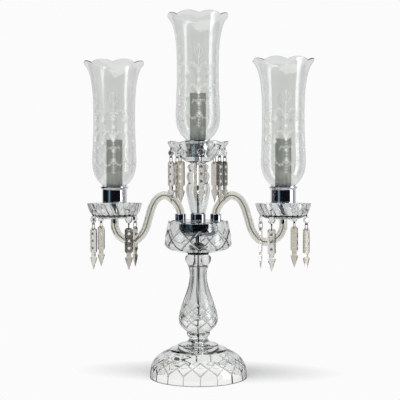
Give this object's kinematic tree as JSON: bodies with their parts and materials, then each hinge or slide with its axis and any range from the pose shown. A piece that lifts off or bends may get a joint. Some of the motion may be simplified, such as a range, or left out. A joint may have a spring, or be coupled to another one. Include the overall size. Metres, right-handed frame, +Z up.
{
  "type": "crystal candelabra",
  "caption": "Cut-glass candelabra lamp: domed foot, baluster stem, bowl over a chrome hub, curved glass arms, candle lights in flared shades, and hanging spear prisms.",
  "frame": {"origin": "centre of the underside of the foot", "axes": "+Z up, the two arms along X, -Y to the front"},
  "size_m": [0.428, 0.1778, 0.6697],
  "materials": {
    "crystal": "polished cut glass",
    "chrome": "polished",
    "candle": "satin",
    "bakelite": "moulded",
    "rubber": "smooth"
  },
  "bodies": {
    "frame": {"base": "crystal", "inlet_bush": "rubber", "bowl_washer": "rubber", "bowl": "crystal", "bowl_nut": "chrome", "hub": "chrome", "spindle": "chrome", "post": "crystal", "arm_left": "crystal", "arm_right": "crystal", "pan_left": "crystal", "pan_right": "crystal", "pan_centre": "crystal", "shade_cup_left": "chrome", "lampholder_left": "bakelite", "shade_cup_right": "chrome", "lampholder_right": "bakelite", "shade_cup_centre": "chrome", "lampholder_centre": "bakelite", "wiring": "rubber"},
    "sleeve_left": {"candle_sleeve_left": "candle"},
    "shade_left": {"shade_left": "crystal", "shade_neck_left": "crystal"},
    "sleeve_right": {"candle_sleeve_right": "candle"},
    "shade_right": {"shade_right": "crystal", "shade_neck_right": "crystal"},
    "sleeve_centre": {"candle_sleeve_centre": "candle"},
    "shade_centre": {"shade_centre": "crystal"},
    "button_left_1": {"drop_button_left_1": "crystal"},
    "prism_left_1": {"drop_prism_left_1": "crystal"},
    "button_left_2": {"drop_button_left_2": "crystal"},
    "prism_left_2": {"drop_prism_left_2": "crystal"},
    "button_left_3": {"drop_button_left_3": "crystal"},
    "prism_left_3": {"drop_prism_left_3": "crystal"},
    "button_left_4": {"drop_button_left_4": "crystal"},
    "prism_left_4": {"drop_prism_left_4": "crystal"},
    "button_right_1": {"drop_button_right_1": "crystal"},
    "prism_right_1": {"drop_prism_right_1": "crystal"},
    "button_right_2": {"drop_button_right_2": "crystal"},
    "prism_right_2": {"drop_prism_right_2": "crystal"},
    "button_right_3": {"drop_button_right_3": "crystal"},
    "prism_right_3": {"drop_prism_right_3": "crystal"},
    "button_right_4": {"drop_button_right_4": "crystal"},
    "prism_right_4": {"drop_prism_right_4": "crystal"},
    "button_centre_1": {"drop_button_centre_1": "crystal"},
    "prism_centre_1": {"drop_prism_centre_1": "crystal"},
    "button_centre_2": {"drop_button_centre_2": "crystal"},
    "prism_centre_2": {"drop_prism_centre_2": "crystal"},
    "button_centre_3": {"drop_button_centre_3": "crystal"},
    "prism_centre_3": {"drop_prism_centre_3": "crystal"},
    "button_centre_4": {"drop_button_centre_4": "crystal"},
    "prism_centre_4": {"drop_prism_centre_4": "crystal"},
    "button_centre_5": {"drop_button_centre_5": "crystal"},
    "prism_centre_5": {"drop_prism_centre_5": "crystal"},
    "button_centre_6": {"drop_button_centre_6": "crystal"},
    "prism_centre_6": {"drop_prism_centre_6": "crystal"},
    "button_centre_7": {"drop_button_centre_7": "crystal"},
    "prism_centre_7": {"drop_prism_centre_7": "crystal"},
    "button_centre_8": {"drop_button_centre_8": "crystal"},
    "prism_centre_8": {"drop_prism_centre_8": "crystal"}
  },
  "joints": [
    {"name": "sleeve_lift_left", "type": "slide", "parent": "frame", "child": "sleeve_left", "axis": [0, 0, 1], "range_m": [0, 0.1]},
    {"name": "shade_lift_left", "type": "slide", "parent": "frame", "child": "shade_left", "axis": [0, 0, 1], "range_m": [0, 0.15]},
    {"name": "sleeve_lift_right", "type": "slide", "parent": "frame", "child": "sleeve_right", "axis": [0, 0, 1], "range_m": [0, 0.1]},
    {"name": "shade_lift_right", "type": "slide", "parent": "frame", "child": "shade_right", "axis": [0, 0, 1], "range_m": [0, 0.15]},
    {"name": "sleeve_lift_centre", "type": "slide", "parent": "frame", "child": "sleeve_centre", "axis": [0, 0, 1], "range_m": [0, 0.1]},
    {"name": "shade_lift_centre", "type": "slide", "parent": "frame", "child": "shade_centre", "axis": [0, 0, 1], "range_m": [0, 0.15]},
    {"name": "button_swing_left_1", "type": "hinge", "parent": "frame", "child": "button_left_1", "pos_m": [-0.18991, -0.03291, 0.31086], "axis": [-0.7071, 0.7071, 0], "range_deg": [-8, 24]},
    {"name": "prism_swing_left_1", "type": "hinge", "parent": "button_left_1", "child": "prism_left_1", "pos_m": [-0.18991, -0.03291, 0.27336], "axis": [-0.7071, 0.7071, 0], "range_deg": [-12, 20]},
    {"name": "button_swing_left_2", "type": "hinge", "parent": "frame", "child": "button_left_2", "pos_m": [-0.12409, -0.03291, 0.31086], "axis": [-0.7071, -0.7071, 0], "range_deg": [-8, 24]},
    {"name": "prism_swing_left_2", "type": "hinge", "parent": "button_left_2", "child": "prism_left_2", "pos_m": [-0.12409, -0.03291, 0.27336], "axis": [-0.7071, -0.7071, 0], "range_deg": [-12, 20]},
    {"name": "button_swing_left_3", "type": "hinge", "parent": "frame", "child": "button_left_3", "pos_m": [-0.12409, 0.03291, 0.31086], "axis": [0.7071, -0.7071, 0], "range_deg": [-8, 24]},
    {"name": "prism_swing_left_3", "type": "hinge", "parent": "button_left_3", "child": "prism_left_3", "pos_m": [-0.12409, 0.03291, 0.27336], "axis": [0.7071, -0.7071, 0], "range_deg": [-12, 20]},
    {"name": "button_swing_left_4", "type": "hinge", "parent": "frame", "child": "button_left_4", "pos_m": [-0.18991, 0.03291, 0.31086], "axis": [0.7071, 0.7071, 0], "range_deg": [-8, 24]},
    {"name": "prism_swing_left_4", "type": "hinge", "parent": "button_left_4", "child": "prism_left_4", "pos_m": [-0.18991, 0.03291, 0.27336], "axis": [0.7071, 0.7071, 0], "range_deg": [-12, 20]},
    {"name": "button_swing_right_1", "type": "hinge", "parent": "frame", "child": "button_right_1", "pos_m": [0.13733, -0.04219, 0.31086], "axis": [-0.9063, 0.4226, 0], "range_deg": [-8, 24]},
    {"name": "prism_swing_right_1", "type": "hinge", "parent": "button_right_1", "child": "prism_right_1", "pos_m": [0.13733, -0.04219, 0.27336], "axis": [-0.9063, 0.4226, 0], "range_deg": [-12, 20]},
    {"name": "button_swing_right_2", "type": "hinge", "parent": "frame", "child": "button_right_2", "pos_m": [0.19919, -0.01967, 0.31086], "axis": [-0.4226, -0.9063, 0], "range_deg": [-8, 24]},
    {"name": "prism_swing_right_2", "type": "hinge", "parent": "button_right_2", "child": "prism_right_2", "pos_m": [0.19919, -0.01967, 0.27336], "axis": [-0.4226, -0.9063, 0], "range_deg": [-12, 20]},
    {"name": "button_swing_right_3", "type": "hinge", "parent": "frame", "child": "button_right_3", "pos_m": [0.17667, 0.04219, 0.31086], "axis": [0.9063, -0.4226, 0], "range_deg": [-8, 24]},
    {"name": "prism_swing_right_3", "type": "hinge", "parent": "button_right_3", "child": "prism_right_3", "pos_m": [0.17667, 0.04219, 0.27336], "axis": [0.9063, -0.4226, 0], "range_deg": [-12, 20]},
    {"name": "button_swing_right_4", "type": "hinge", "parent": "frame", "child": "button_right_4", "pos_m": [0.11482, 0.01967, 0.31086], "axis": [0.4226, 0.9063, 0], "range_deg": [-4, 24]},
    {"name": "prism_swing_right_4", "type": "hinge", "parent": "button_right_4", "child": "prism_right_4", "pos_m": [0.11482, 0.01967, 0.27336], "axis": [0.4226, 0.9063, 0], "range_deg": [-5, 20]},
    {"name": "button_swing_centre_1", "type": "hinge", "parent": "frame", "child": "button_centre_1", "pos_m": [0.01124, -0.0487, 0.42843], "axis": [-0.9744, -0.225, 0], "range_deg": [-8, 24]},
    {"name": "prism_swing_centre_1", "type": "hinge", "parent": "button_centre_1", "child": "prism_centre_1", "pos_m": [0.01124, -0.0487, 0.39573], "axis": [-0.9744, -0.225, 0], "range_deg": [-12, 20]},
    {"name": "button_swing_centre_2", "type": "hinge", "parent": "frame", "child": "button_centre_2", "pos_m": [0.04239, -0.02649, 0.42843], "axis": [-0.5299, -0.848, 0], "range_deg": [-8, 24]},
    {"name": "prism_swing_centre_2", "type": "hinge", "parent": "button_centre_2", "child": "prism_centre_2", "pos_m": [0.04239, -0.02649, 0.39573], "axis": [-0.5299, -0.848, 0], "range_deg": [-12, 20]},
    {"name": "button_swing_centre_3", "type": "hinge", "parent": "frame", "child": "button_centre_3", "pos_m": [0.0487, 0.01124, 0.42843], "axis": [0.225, -0.9744, 0], "range_deg": [-4, 24]},
    {"name": "prism_swing_centre_3", "type": "hinge", "parent": "button_centre_3", "child": "prism_centre_3", "pos_m": [0.0487, 0.01124, 0.39573], "axis": [0.225, -0.9744, 0], "range_deg": [-5, 20]},
    {"name": "button_swing_centre_4", "type": "hinge", "parent": "frame", "child": "button_centre_4", "pos_m": [0.02649, 0.04239, 0.42843], "axis": [0.848, -0.5299, 0], "range_deg": [-8, 24]},
    {"name": "prism_swing_centre_4", "type": "hinge", "parent": "button_centre_4", "child": "prism_centre_4", "pos_m": [0.02649, 0.04239, 0.39573], "axis": [0.848, -0.5299, 0], "range_deg": [-12, 20]},
    {"name": "button_swing_centre_5", "type": "hinge", "parent": "frame", "child": "button_centre_5", "pos_m": [-0.01124, 0.0487, 0.42843], "axis": [0.9744, 0.225, 0], "range_deg": [-8, 24]},
    {"name": "prism_swing_centre_5", "type": "hinge", "parent": "button_centre_5", "child": "prism_centre_5", "pos_m": [-0.01124, 0.0487, 0.39573], "axis": [0.9744, 0.225, 0], "range_deg": [-12, 20]},
    {"name": "button_swing_centre_6", "type": "hinge", "parent": "frame", "child": "button_centre_6", "pos_m": [-0.04239, 0.02649, 0.42843], "axis": [0.5299, 0.848, 0], "range_deg": [-8, 24]},
    {"name": "prism_swing_centre_6", "type": "hinge", "parent": "button_centre_6", "child": "prism_centre_6", "pos_m": [-0.04239, 0.02649, 0.39573], "axis": [0.5299, 0.848, 0], "range_deg": [-12, 20]},
    {"name": "button_swing_centre_7", "type": "hinge", "parent": "frame", "child": "button_centre_7", "pos_m": [-0.0487, -0.01124, 0.42843], "axis": [-0.225, 0.9744, 0], "range_deg": [-4, 24]},
    {"name": "prism_swing_centre_7", "type": "hinge", "parent": "button_centre_7", "child": "prism_centre_7", "pos_m": [-0.0487, -0.01124, 0.39573], "axis": [-0.225, 0.9744, 0], "range_deg": [-5, 20]},
    {"name": "button_swing_centre_8", "type": "hinge", "parent": "frame", "child": "button_centre_8", "pos_m": [-0.02649, -0.04239, 0.42843], "axis": [-0.848, 0.5299, 0], "range_deg": [-8, 24]},
    {"name": "prism_swing_centre_8", "type": "hinge", "parent": "button_centre_8", "child": "prism_centre_8", "pos_m": [-0.02649, -0.04239, 0.39573], "axis": [-0.848, 0.5299, 0], "range_deg": [-12, 20]}
  ]
}
